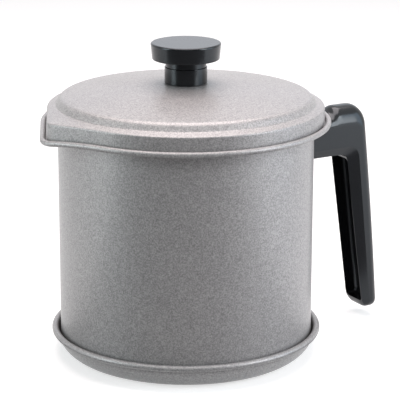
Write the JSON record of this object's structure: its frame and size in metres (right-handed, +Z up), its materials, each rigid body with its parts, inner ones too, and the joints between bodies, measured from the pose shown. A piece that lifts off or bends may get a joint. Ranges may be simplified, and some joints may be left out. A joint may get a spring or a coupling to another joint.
{
  "type": "bacon grease container",
  "caption": "Round coated-steel grease pot with a pouring spout, black moulded side handle, lift-off domed lid with a knob, lift-out mesh strainer and a round drip tray.",
  "frame": {"origin": "centre of the drip tray's flat underside, on the axis of the pot, where the container rests", "axes": "+X towards the handle, -X towards the pouring spout, +Z up along the axis of the pot, +Y completes a right-handed frame"},
  "size_m": [0.2049, 0.1528, 0.1678],
  "materials": {
    "coated_steel": "satin silver-grey non-stick coat with fine dark speckle",
    "black_moulding": "black phenolic moulding, satin with a soft sheen",
    "stainless": "stamped stainless steel, satin",
    "strainer_mesh": "fine woven stainless wire",
    "brass_insert": "plain turned brass"
  },
  "bodies": {
    "tray": {"drip_tray": "coated_steel"},
    "pot": {"pot_body": "coated_steel", "handle_grip": "black_moulding", "handle_bracket": "stainless", "handle_screw": "stainless", "handle_washer": "stainless"},
    "strainer": {"strainer_ring": "stainless", "strainer_mesh": "strainer_mesh", "strainer_clamp_ring": "stainless", "strainer_tab_left": "stainless", "strainer_tab_right": "stainless"},
    "lid": {"lid_shell": "coated_steel", "knob_collar": "black_moulding", "knob_cap": "black_moulding", "knob_insert": "brass_insert", "knob_washer": "stainless", "knob_screw": "stainless"}
  },
  "joints": [
    {"name": "pot_lift", "type": "slide", "parent": "tray", "child": "pot", "axis": [0, 0, 1], "range_m": [0, 0.04]},
    {"name": "strainer_lift", "type": "slide", "parent": "pot", "child": "strainer", "axis": [0, 0, 1], "range_m": [0, 0.075]},
    {"name": "lid_lift", "type": "slide", "parent": "strainer", "child": "lid", "axis": [0, 0, 1], "range_m": [0, 0.04]}
  ]
}
